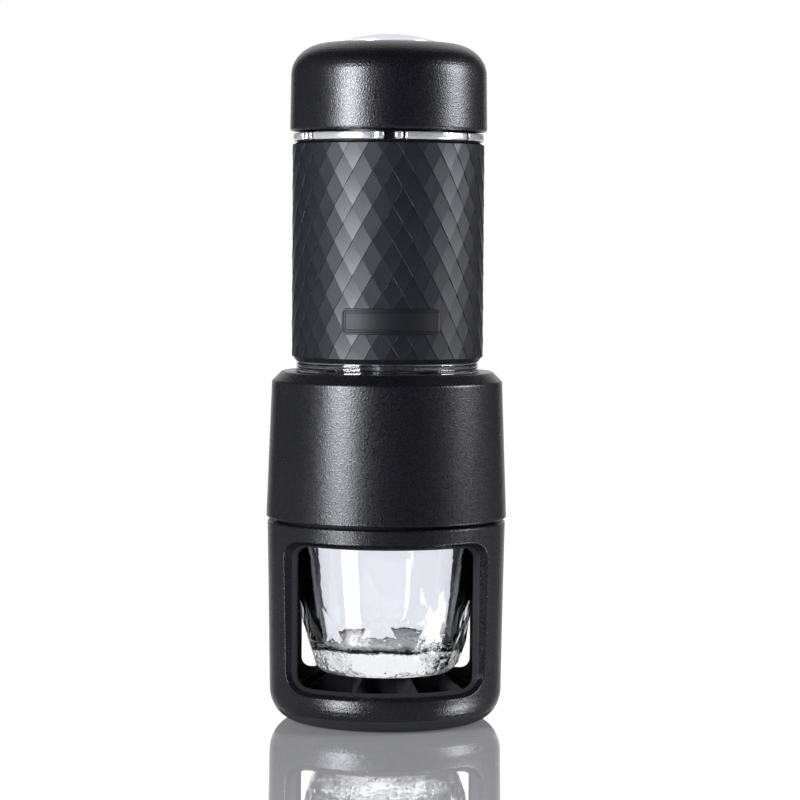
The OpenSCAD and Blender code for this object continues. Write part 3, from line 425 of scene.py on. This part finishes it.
MATERIALS = {
    "black_plastic": black_moulding(),
    "smooth_plastic": smooth_moulding(),
    "grip_silicone": grip_silicone(),
    "clear_plastic": smoked_moulding(),
    "cut_glass": cut_glass(),
    "stainless_steel": turned_metal("turned_stainless", (0.62, 0.62, 0.64), 0.22),
    "brass": turned_metal("turned_brass", (0.72, 0.52, 0.24), 0.25),
    "seal_rubber": soft_seal("black_seal_rubber", (0.018, 0.018, 0.018), 0.42),
    "pale_silicone": soft_seal("pale_valve_silicone", (0.66, 0.66, 0.62)),
    "red_silicone": soft_seal("red_gasket_silicone", (0.42, 0.07, 0.04)),
    "white_nylon": soft_seal("white_turned_nylon", (0.74, 0.73, 0.69), 0.4),
    # the near-black colour inside inner_r is painted shade in the ring's notches and recesses
    "bright_ring": bright_plating("plated_lid_ring", (0.90, 0.90, 0.93), (0.02, 0.02, 0.022),
                                  inner_r=radius_of("lid_ring") - 0.4 * MM,
                                  metallic=0.78, roughness=0.10, edge_radius=0.9 * MM),
    "bright_medallion": bright_plating("plated_cap_medallion", (0.95, 0.95, 0.98),
                                       (0.74, 0.72, 0.90),
                                       inner_r=radius_of("cap_medallion") - 0.2 * MM,
                                       metallic=0.35, roughness=0.22),
}

for subpart in frame["record"]["subparts"]:
    mesh = nodes[subpart["node"]].data
    mesh.materials.clear()
    mesh.materials.append(MATERIALS[subpart["material_slot"]])


# ---- grip sleeve ----

DIAMONDS_ROUND = 30
DIAMOND_ROW = 5.1 * MM
CORNER_ANGLE = math.radians(3.0)
LATTICE_RISE = 5.25 * MM
# how far the sleeve reaches over its node's top
SLEEVE_OVER = 0.75 * MM
# room round the tank inside the sleeve, and at the sleeve's top end
SLEEVE_GAP = 0.1 * MM
MOUTH_GAP = 0.25 * MM
GROOVE_W = 0.03 * MM
GROOVE_DEPTH = 0.03 * MM
# slant of the grooves' flanks, which the bevel of a pad's edge goes by
PAD_LIFT = 0.1 * MM
PAD_ARRIS = 0.03 * MM
PAD_SINK = 0.10 * MM
PAD_FLARE = 0.30 * MM
# height and depth of the slant at the top end and at the bottom end
TOP_SLANT = (0.75 * MM, 1.5 * MM)
BOTTOM_SLANT = (1.45 * MM, 1.3 * MM)
# shares of that depth and height at the slant's three bends
SLANT_BENDS = ((0.26, 0.08), (0.85, 0.80), (1.0, 1.0))


def make_grip_sleeve():
    """A lattice of diamond pads like scales: each starts a little sunk at its upper tip and
    flares out to its lower one, with thin open grooves between them and a plain bore."""
    radius = radius_of("grip_sleeve")
    low, high = bottom_of("grip_sleeve"), top_of("grip_sleeve") + SLEEVE_OVER
    bore = tank_radius + SLEEVE_GAP
    mouth_bore = tank_radius + MOUTH_GAP
    half = math.pi / DIAMONDS_ROUND
    pad_plane = radius * math.cos(half * 0.9)
    rows = math.ceil((high - low - LATTICE_RISE) / DIAMOND_ROW)

    bm = bmesh.new()
    corners = [bm.verts.new(on_drum(angle, radius - GROOVE_DEPTH, z)) for angle, z in
               ((0, DIAMOND_ROW), (-half, 0), (0, -DIAMOND_ROW), (half, 0))]
    pad = bm.faces.new(corners)
    bm.normal_update()
    bmesh.ops.inset_individual(bm, faces=[pad], thickness=GROOVE_W, depth=PAD_LIFT)
    for vert in pad.verts:
        vert.co.y = -pad_plane
    bmesh.ops.bevel(bm, geom=list(pad.edges), offset=PAD_ARRIS, offset_type="OFFSET",
                    affect="EDGES", segments=1, profile=0.5, material=-1)
    for third in (-2, -1, 0, 1, 2):
        bmesh.ops.bisect_plane(bm, geom=everything(bm), dist=1e-8,
                               plane_co=(0, 0, third * DIAMOND_ROW / 3), plane_no=(0, 0, 1))
    share = bm.verts.layers.float.new(PAD_SHARE)
    for vert in bm.verts:
        down = (1 - vert.co.z / DIAMOND_ROW) / 2
        vert[share] = down
        if not vert.is_boundary:
            vert.co.y += PAD_SINK - PAD_FLARE * down * down
    bmesh.ops.spin(bm, geom=everything(bm), cent=ORIGIN, axis=UP,
                   angle=math.tau * (DIAMONDS_ROUND - 1) / DIAMONDS_ROUND,
                   steps=DIAMONDS_ROUND - 1, use_duplicate=True)
    ring = everything(bm)
    for row in range(-2, rows + 2):
        copied = verts_in(bmesh.ops.duplicate(bm, geom=ring)["geom"])
        # a row's diamonds sit between the corners of the rows above and below it
        turn = CORNER_ANGLE + (half if row % 2 else 0)
        bmesh.ops.rotate(bm, verts=copied, cent=ORIGIN, matrix=Matrix.Rotation(turn, 3, "Z"))
        middle = low + LATTICE_RISE + (row + 1) * DIAMOND_ROW
        bmesh.ops.translate(bm, verts=copied, vec=(0, 0, middle))
    bmesh.ops.delete(bm, geom=verts_in(ring), context="VERTS")
    bmesh.ops.remove_doubles(bm, verts=bm.verts, dist=2e-6)

    # each end slants in to a thin edge and closes on the bore
    ends = ((high, -1, *TOP_SLANT), (low, 1, *BOTTOM_SLANT))
    for edge_z, inward, tall, _ in ends:
        bmesh.ops.bisect_plane(bm, geom=everything(bm), dist=1e-8,
                               plane_co=(0, 0, edge_z + inward * tall),
                               plane_no=(0, 0, -inward), clear_outer=True)
    loops = []
    for edge_z, inward, tall, wide in ends:
        cut_z = edge_z + inward * tall
        rim = [edge for edge in bm.edges if edge.is_boundary
               and all(abs(vert.co.z - cut_z) < 1e-6 for vert in edge.verts)]
        for share_in, share_up in SLANT_BENDS:
            rim = extrude_rim(bm, rim, radius - share_in * wide, cut_z - inward * share_up * tall)
        loops += extrude_rim(bm, rim, bore if inward > 0 else mouth_bore, edge_z)
    bmesh.ops.bridge_loops(bm, edges=loops)
    merge_and_face_out(bm)
    piece = new_piece("diamond_grip_sleeve", bm, "tank", "grip_silicone", 4)
    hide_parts("grip_sleeve")
    return radius


def extrude_rim(bm, rim, radius, z):
    """Extrudes a ring of edges and sets the new ring to a radius and height."""
    made = bmesh.ops.extrude_edge_only(bm, edges=rim)["geom"]
    for vert in verts_in(made):
        flat = Vector((vert.co.x, vert.co.y, 0)).normalized() * radius
        vert.co = (flat.x, flat.y, z)
    return [item for item in made if isinstance(item, bmesh.types.BMEdge)
            and all(abs(vert.co.z - z) < 1e-7 for vert in item.verts)]


tank_radius = radius_of("tank_seal") - 0.25 * MM
sleeve_radius = make_grip_sleeve()


# ---- blank plaque on the sleeve ----

PLAQUE_ARC = 30.2 * MM
PLAQUE_H = 7.5 * MM
PLAQUE_RISE = 12.53 * MM
PLAQUE_ANGLE = math.radians(2.6)
PLAQUE_CORNER = 1.7 * MM
PLAQUE_STANDS = 0.12 * MM
PLAQUE_BACK = 0.5 * MM
# width and rise of each step in: outer flank, ridge, inner flank, groove, and the second
# ridge's flank, top and flank down to the field
PLAQUE_STEPS = ((0.16, 0.20), (0.34, 0.0), (0.16, -0.24), (0.26, 0.0), (0.14, 0.12),
                (0.22, 0.0), (0.14, -0.10))


def make_blank_plaque():
    """A rounded plate with a raised double border and nothing on its field."""
    bm = bmesh.new()
    half_w, half_h = PLAQUE_ARC / 2, PLAQUE_H / 2
    corners = ((-half_w, -half_h), (half_w, -half_h), (half_w, half_h), (-half_w, half_h))
    bm.faces.new([bm.verts.new((x, 0, z)) for x, z in corners])
    bmesh.ops.bevel(bm, geom=bm.verts[:], offset=PLAQUE_CORNER, offset_type="OFFSET",
                    affect="VERTICES", segments=6, profile=0.5, material=-1)
    plate = bm.faces[:][0]
    bm.normal_update()
    for width, rise in PLAQUE_STEPS:
        bmesh.ops.inset_region(bm, faces=[plate], thickness=width * MM, depth=rise * MM,
                               use_boundary=True, use_even_offset=True)
    rim = [edge for edge in bm.edges if edge.is_boundary]
    made = bmesh.ops.extrude_edge_only(bm, edges=rim)["geom"]
    bmesh.ops.translate(bm, verts=verts_in(made), vec=(0, PLAQUE_BACK, 0))
    # a cut every millimetre lets the plate follow the sleeve
    for cut in range(-15, 16):
        bmesh.ops.bisect_plane(bm, geom=everything(bm), dist=1e-8,
                               plane_co=(cut * MM, 0, 0), plane_no=(1, 0, 0))
    base = sleeve_radius + PLAQUE_STANDS
    middle = bottom_of("grip_sleeve") + PLAQUE_RISE
    for vert in bm.verts:
        vert.co = on_drum(PLAQUE_ANGLE + vert.co.x / base, base - vert.co.y, middle + vert.co.z)
    bmesh.ops.recalc_face_normals(bm, faces=bm.faces)
    new_piece("blank_plaque", bm, "tank", "grip_silicone", 28)


make_blank_plaque()


# ---- medallion ----

MEDALLION_SKIRT = 0.7 * MM
MEDALLION_EDGE = 0.75 * MM
MEDALLION_ROUND = 0.3 * MM
# the skirt floats this far over the cap
MEDALLION_GAP = 0.03 * MM


def make_medallion():
    """The domed plate with its raised, rounded edge; a skirt of it overlaps the cap."""
    low, high = bottom_of("cap_medallion"), top_of("cap_medallion")
    seat_r = radius_of("cap_medallion")
    cap_top = top_of("cap_shell")
    edge_r, edge_z = seat_r + MEDALLION_SKIRT, cap_top + MEDALLION_EDGE
    skirt_z = cap_top + MEDALLION_GAP
    outline = [(0, low), (seat_r, low), (seat_r, skirt_z), (edge_r, skirt_z)]
    for step in range(4):
        angle = step * math.pi / 8
        outline.append((edge_r - MEDALLION_ROUND * (1 - math.cos(angle)),
                        edge_z - MEDALLION_ROUND * (1 - math.sin(angle))))
    start_r = outline[-1][0] - 0.15 * MM
    for step in range(13):
        share = 1 - step / 12
        outline.append((start_r * share, high - (high - edge_z) * share * share))
    piece = new_piece("domed_medallion", spun(outline, 160), "cap", "bright_medallion", 40)
    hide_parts("cap_medallion")


make_medallion()


# ---- glass ----

GLASS_CUTS = 9
GLASS_TURN = math.radians(-4.4)
GLASS_ARRIS = 0.45 * MM
GLASS_WALL = 2.0 * MM
GLASS_FLOOR = 7.6 * MM
BOWL_R = 20.0 * MM
BOWL_FILLET = 3.2 * MM
UNDERSIDE_R = 15.5 * MM
UNDERSIDE_RISE = 1.6 * MM


def make_glass():
    """A round foot, two tiers of cut faces and a round rim, hollowed by a bowl and a dome."""
    low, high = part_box("glass_cup")
    foot_z, rim_z = low.z, high.z
    height = rim_z - foot_z
    rim_r = radius_of("glass_cup") - 0.05 * MM

    bm = bmesh.new()
    # radius, share of the height, corners, and a turn as a share of one corner's angle
    rings = ((19.6 * MM, 0.0, 72, 0), (20.9 * MM, 0.025, 72, 0),
             (rim_r * 0.765, 0.05, GLASS_CUTS, 0), (rim_r * 0.835, 0.18, GLASS_CUTS, 0),
             (rim_r * 0.91, 0.47, GLASS_CUTS, 0.5),
             (rim_r, 0.985, 96, 0), (rim_r - 0.5 * MM, 1.0, 96, 0))
    for radius, share, count, turn in rings:
        spot = (Matrix.Translation((0, 0, foot_z + share * height))
                @ Matrix.Rotation(turn * math.tau / count + GLASS_TURN, 4, "Z"))
        bmesh.ops.create_circle(bm, cap_ends=False, radius=radius, segments=count, matrix=spot)
    bmesh.ops.convex_hull(bm, input=bm.verts)
    bmesh.ops.dissolve_limit(bm, angle_limit=math.radians(1.0), verts=bm.verts[:],
                             edges=bm.edges[:])
    corners = [edge for edge in bm.edges if len(edge.link_faces) == 2
               and edge.calc_face_angle() > math.radians(9)]
    bmesh.ops.bevel(bm, geom=corners, offset=GLASS_ARRIS, offset_type="OFFSET", affect="EDGES",
                    segments=3, profile=0.5, material=-1, clamp_overlap=True)
    bmesh.ops.recalc_face_normals(bm, faces=bm.faces)
    outer = bpy.data.meshes.new("glass_outside")
    bm.to_mesh(outer)
    bm.free()

    floor_z = foot_z + GLASS_FLOOR
    bowl = [(0, floor_z + 0.25 * MM), (BOWL_R * 0.5, floor_z + 0.1 * MM)]
    for step in range(9):
        angle = -math.pi / 2 + step * math.radians(80) / 8
        bowl.append((BOWL_R - BOWL_FILLET + BOWL_FILLET * math.cos(angle),
                     floor_z + BOWL_FILLET + BOWL_FILLET * math.sin(angle)))
    lip_r = rim_r - GLASS_WALL
    bowl += [(lip_r, rim_z - 1.2 * MM), (lip_r + 0.7 * MM, rim_z + 0.1 * MM),
             (lip_r + 0.7 * MM, rim_z + 4 * MM), (0, rim_z + 4 * MM)]
    inside = spun(bowl, 96)
    # the underside is drawn up in a shallow dome
    dome = [(0, foot_z + UNDERSIDE_RISE)]
    for step in range(1, 7):
        share = step / 6
        dome.append((UNDERSIDE_R * share, foot_z + UNDERSIDE_RISE * (1 - share * share)))
    under = spun(dome + [(UNDERSIDE_R, foot_z - 2 * MM), (0, foot_z - 2 * MM)], 96)
    cutter_mesh = bpy.data.meshes.new("glass_inside")
    under_mesh = bpy.data.meshes.new("glass_under")
    under.to_mesh(under_mesh)
    under.free()
    inside.from_mesh(under_mesh)
    inside.to_mesh(cutter_mesh)
    inside.free()
    blank = bpy.data.objects.new("glass_blank", outer)
    cutter = bpy.data.objects.new("glass_cutter", cutter_mesh)
    for thing in (blank, cutter):
        bpy.context.scene.collection.objects.link(thing)
    hollow = blank.modifiers.new("hollow", "BOOLEAN")
    hollow.operation = "DIFFERENCE"
    hollow.solver = "EXACT"
    hollow.object = cutter
    graph = bpy.context.evaluated_depsgraph_get()
    result = bpy.data.meshes.new_from_object(blank.evaluated_get(graph))
    bpy.data.objects.remove(blank)
    bpy.data.objects.remove(cutter)
    bm = bmesh.new()
    bm.from_mesh(result)
    merge_and_face_out(bm, 1e-6)
    piece = new_piece("cut_glass_tumbler", bm, "glass", "cut_glass", 22)
    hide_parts("glass_cup")


make_glass()


# ---- screw threads, left out of the solids ----

THREAD_STEPS = 48
THREAD_DEPTH = 0.24 * MM
THREAD_SUNK = 0.05 * MM
# height of the ridge as a share of the pitch
THREAD_SHARE = 0.6


def make_thread(name, body, slot, radius, low, turns, pitch):
    """A helical ridge of trapezium section that tapers into the wall at both ends."""
    steps = int(turns * THREAD_STEPS)
    bm = bmesh.new()
    root, crest = radius - THREAD_SUNK, radius + THREAD_DEPTH
    section = [bm.verts.new((reach, 0, low + pitch * share)) for reach, share in
               ((root, 0), (crest, 0.22), (crest, 0.38), (root, THREAD_SHARE))]
    face = bm.faces.new(section)
    bmesh.ops.spin(bm, geom=[face] + list(face.edges) + section, cent=ORIGIN, axis=UP,
                   dvec=(0, 0, pitch * turns / steps), angle=math.tau * turns, steps=steps,
                   use_duplicate=False)
    lead_in = pitch * 0.35
    top = low + pitch * (turns + THREAD_SHARE)
    for vert in bm.verts:
        far = math.hypot(vert.co.x, vert.co.y)
        if far > radius:
            share = min(1.0, (vert.co.z - low) / lead_in, (top - vert.co.z) / lead_in)
            grown = root + (far - root) * max(0.05, share)
            vert.co.x *= grown / far
            vert.co.y *= grown / far
    bmesh.ops.recalc_face_normals(bm, faces=bm.faces)
    new_piece(name, bm, body, slot, 30)


seal_low, seal_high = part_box("housing_seal")
spigot_radius = radius_of("housing_seal") - (seal_high.z - seal_low.z) - 0.05 * MM
plug_radius = radius_of("lid_seal") - 0.25 * MM
make_thread("holder_thread", "holder", "black_plastic", radius=spigot_radius,
            low=top_of("cup_holder") - 3.0 * MM, turns=1.4, pitch=1.4 * MM)
make_thread("tank_neck_thread", "tank", "clear_plastic", radius=tank_radius,
            low=bottom_of("water_tank") + 6.2 * MM, turns=2.6, pitch=1.6 * MM)
make_thread("lid_plug_thread", "lid", "clear_plastic", radius=plug_radius,
            low=bottom_of("tank_lid") + 14.0 * MM, turns=3.0, pitch=2.2 * MM)


# ---- studio ----

FLOOR_R = 3.0
FLOOR_GLOW = 0.085
ROOM_DIM = 0.025
ROOM_SIDE = 0.20
ROOM_BACK = 1.0
LAMP_COLOUR = (0.92, 0.93, 1.0)
CAMERA_SPOT = (0.0039, -0.8833, 0.1466)
CAMERA_PITCH = math.radians(3.28)
CAMERA_ROLL = math.radians(0.38)
CAMERA_LENS = 132.75


def make_floor():
    """A polished pale floor: it mirrors the maker and takes its shadow."""
    floor_mesh = bpy.data.meshes.new("studio_floor")
    bm = bmesh.new()
    bmesh.ops.create_circle(bm, cap_ends=True, radius=FLOOR_R, segments=96)
    bm.to_mesh(floor_mesh)
    bm.free()
    floor = bpy.data.objects.new("studio_floor", floor_mesh)
    bpy.context.scene.collection.objects.link(floor)
    paint = bpy.data.materials.new("studio_floor_white")
    paint.use_nodes = True
    tree = paint.node_tree
    shader = tree.nodes["Principled BSDF"]
    shader.inputs["Base Color"].default_value = (0.98, 0.98, 0.99, 1)
    shader.inputs["Metallic"].default_value = 0.72
    shader.inputs["Roughness"].default_value = 0.03
    path = add_node(tree, "ShaderNodeLightPath")
    glow = maths(tree, "MULTIPLY", path.outputs["Is Camera Ray"], FLOOR_GLOW)
    tree.links.new(glow, shader.inputs["Emission Strength"])
    shader.inputs["Emission Color"].default_value = (1, 1, 1, 1)
    floor_mesh.materials.append(paint)


def make_room():
    """White to the camera and through the glass; dim round the maker but for a tall panel
    behind it."""
    world = bpy.data.worlds.new("studio_room")
    bpy.context.scene.world = world
    world.use_nodes = True
    tree = world.node_tree
    tree.nodes.clear()
    out = add_node(tree, "ShaderNodeOutputWorld")
    room = add_node(tree, "ShaderNodeBackground")
    coords = add_node(tree, "ShaderNodeTexCoord")
    split = add_node(tree, "ShaderNodeSeparateXYZ")
    tree.links.new(coords.outputs["Generated"], split.inputs[0])
    sideways = maths(tree, "ABSOLUTE", split.outputs[0])
    panel = maths(tree, "MULTIPLY", ramp_between(tree, split.outputs[1], 0.10, 0.50),
                  ramp_between(tree, sideways, 0.31, 0.47, ROOM_BACK, 0.0))
    sides = ramp_between(tree, sideways, 0.55, 0.92, ROOM_DIM, ROOM_SIDE)
    lit = maths(tree, "ADD", panel, sides)
    # seen through the glass, the room is a little darker at 45 degrees to each side
    across = maths(tree, "ABSOLUTE", maths(tree, "SUBTRACT", sideways, 0.707))
    through = ramp_between(tree, across, 0.0, 0.30, 0.70, 1.0)
    path = add_node(tree, "ShaderNodeLightPath")
    seen = lit
    for flag, level in (("Is Transmission Ray", through), ("Is Camera Ray", None)):
        mixed = add_node(tree, "ShaderNodeMix", data_type="FLOAT")
        tree.links.new(path.outputs[flag], mixed.inputs["Factor"])
        tree.links.new(seen, mixed.inputs[2])
        if level is None:
            mixed.inputs[3].default_value = 1.0
        else:
            tree.links.new(level, mixed.inputs[3])
        seen = mixed.outputs[0]
    tree.links.new(seen, room.inputs["Strength"])
    room.inputs["Color"].default_value = (1.0, 1.0, 1.0, 1)
    tree.links.new(room.outputs[0], out.inputs["Surface"])


def softbox(name, azimuth, distance, height, width, tall, power):
    """A rectangular lamp at an azimuth, 0 in front of the maker and 90 on its right."""
    lamp = bpy.data.lights.new(name, "AREA")
    lamp.shape = "RECTANGLE"
    lamp.size = width
    lamp.size_y = tall
    lamp.energy = power
    lamp.color = LAMP_COLOUR
    holder = bpy.data.objects.new(name, lamp)
    bpy.context.scene.collection.objects.link(holder)
    angle = math.radians(azimuth)
    spot = Vector((distance * math.sin(angle), -distance * math.cos(angle), height))
    aim = Vector((0, 0, height)) - spot
    holder.location = spot
    holder.rotation_euler = aim.to_track_quat("-Z", "Y").to_euler()


def make_camera():
    lens = bpy.data.cameras.new("photo_camera")
    lens.sensor_width = 36.0
    lens.lens = CAMERA_LENS
    lens.clip_start = 0.01
    camera = bpy.data.objects.new("photo_camera", lens)
    bpy.context.scene.collection.objects.link(camera)
    camera.matrix_world = (Matrix.Translation(CAMERA_SPOT)
                           @ Matrix.Rotation(math.pi / 2 - CAMERA_PITCH, 4, "X")
                           @ Matrix.Rotation(CAMERA_ROLL, 4, "Z"))
    bpy.context.scene.camera = camera


bpy.context.scene.view_settings.view_transform = "Standard"
make_floor()
make_room()
softbox("softbox_left", azimuth=-45, distance=0.75, height=0.265, width=0.28, tall=0.33,
        power=10.2)
softbox("softbox_right", azimuth=84, distance=0.75, height=0.37, width=0.30, tall=0.34,
        power=6.6)
make_camera()
